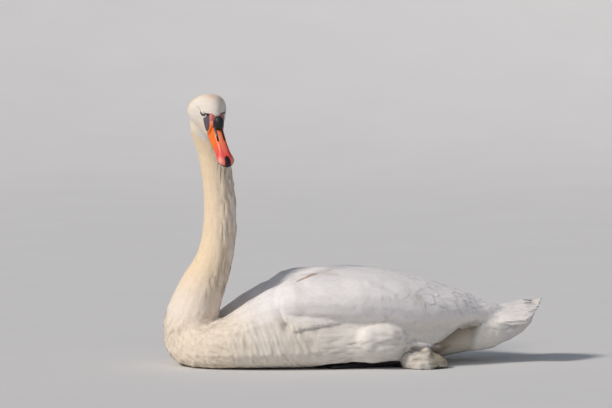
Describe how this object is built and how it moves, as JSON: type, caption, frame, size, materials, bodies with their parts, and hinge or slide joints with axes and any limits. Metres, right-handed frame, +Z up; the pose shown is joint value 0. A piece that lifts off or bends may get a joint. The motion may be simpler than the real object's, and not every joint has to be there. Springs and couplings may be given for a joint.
{
  "type": "resting mute swan figure",
  "caption": "Life-size mute swan resting on the ground with its neck raised, its head turned to its left and its wings folded.",
  "frame": {"origin": "middle of the bounding box at floor level", "axes": "+Z up, -X towards the breast and +X towards the tail, -Y towards the swan's left, to which the head is turned"},
  "size_m": [0.729, 0.312, 0.5137],
  "materials": {
    "body_plumage": "matte white feathers",
    "neck_plumage": "matte cream feathers",
    "bill_horn": "satin orange horn",
    "black_horn": "satin black horn and bare skin",
    "eye": "wet, nearly black eye",
    "foot_skin": "matte grey-black scaled skin"
  },
  "bodies": {
    "root": {"trunk": "body_plumage", "wing_left": "body_plumage", "wing_right": "body_plumage", "tail": "body_plumage", "shank_left": "body_plumage", "shank_right": "body_plumage", "neck_lower": "neck_plumage", "neck_upper": "neck_plumage", "head": "neck_plumage", "bill_upper": "bill_horn", "bill_lower": "black_horn", "bill_knob": "black_horn", "eye_left": "eye", "eye_right": "eye", "foot_left": "foot_skin", "foot_right": "foot_skin"}
  },
  "joints": []
}
